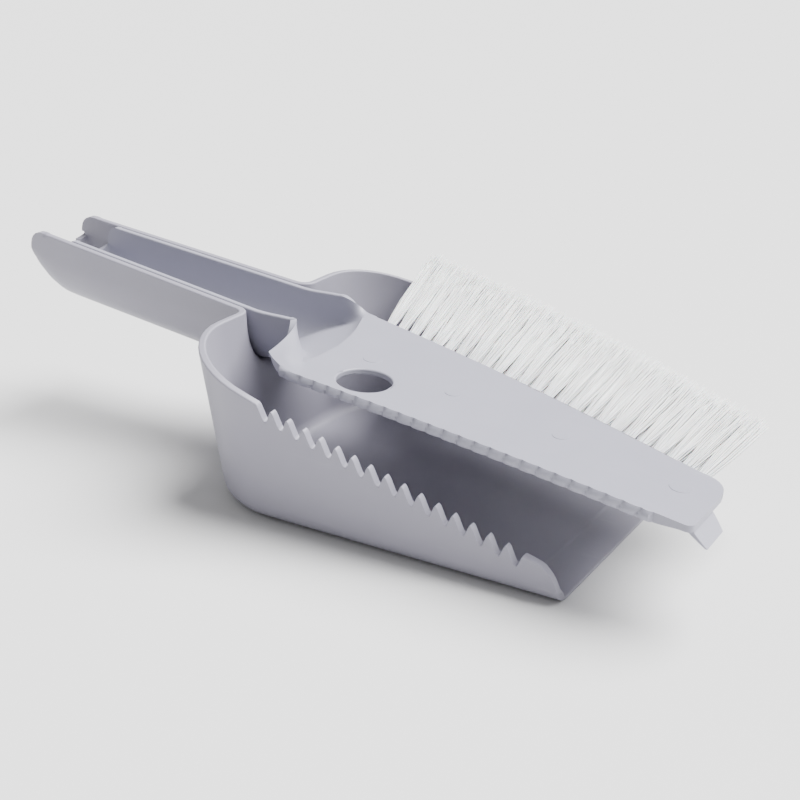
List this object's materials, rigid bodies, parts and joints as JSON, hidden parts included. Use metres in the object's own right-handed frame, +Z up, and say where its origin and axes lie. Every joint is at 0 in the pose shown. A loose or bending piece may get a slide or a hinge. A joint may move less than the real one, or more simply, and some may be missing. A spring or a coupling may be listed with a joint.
{
  "type": "dustpan and hand brush set",
  "caption": "Small plastic dustpan with comb-edged side walls and a trough handle, and a flat hand brush whose handle nests in it.",
  "frame": {"origin": "middle of the dustpan's flat base, halfway between the front lip and the rear wall", "axes": "+X towards the pan's mouth, +Y towards the brush's bristles, +Z up"},
  "size_m": [0.2725, 0.1382, 0.0666],
  "materials": {
    "pan_plastic": "satin moulded plastic",
    "brush_plastic": "satin moulded plastic",
    "staple_wire": "flat drawn wire",
    "bristle": "white nylon filament"
  },
  "bodies": {
    "dustpan": {"dustpan": "pan_plastic"},
    "brush": {"brush_body": "brush_plastic", "tuft_staples": "staple_wire", "tuft_u_01": "bristle", "tuft_u_02": "bristle", "tuft_u_03": "bristle", "tuft_u_04": "bristle", "tuft_u_05": "bristle", "tuft_u_06": "bristle", "tuft_u_07": "bristle", "tuft_u_08": "bristle", "tuft_u_09": "bristle", "tuft_u_10": "bristle", "tuft_u_11": "bristle", "tuft_u_12": "bristle", "tuft_u_13": "bristle", "tuft_u_14": "bristle", "tuft_u_15": "bristle", "tuft_u_16": "bristle", "tuft_u_17": "bristle", "tuft_u_18": "bristle", "tuft_u_19": "bristle", "tuft_u_20": "bristle", "tuft_u_21": "bristle", "tuft_u_22": "bristle", "tuft_u_23": "bristle", "tuft_u_24": "bristle", "tuft_u_25": "bristle", "tuft_l_04": "bristle", "tuft_l_05": "bristle", "tuft_l_06": "bristle", "tuft_l_07": "bristle", "tuft_l_08": "bristle", "tuft_l_09": "bristle", "tuft_l_10": "bristle", "tuft_l_11": "bristle", "tuft_l_12": "bristle", "tuft_l_13": "bristle", "tuft_l_14": "bristle", "tuft_l_15": "bristle", "tuft_l_16": "bristle", "tuft_l_17": "bristle", "tuft_l_18": "bristle", "tuft_l_19": "bristle", "tuft_l_20": "bristle", "tuft_l_21": "bristle", "tuft_l_22": "bristle", "tuft_l_23": "bristle", "tuft_l_24": "bristle"}
  },
  "joints": [
    {"name": "brush_lift", "type": "slide", "parent": "dustpan", "child": "brush", "axis": [0, 0, 1], "range_m": [0, 0.12]}
  ]
}
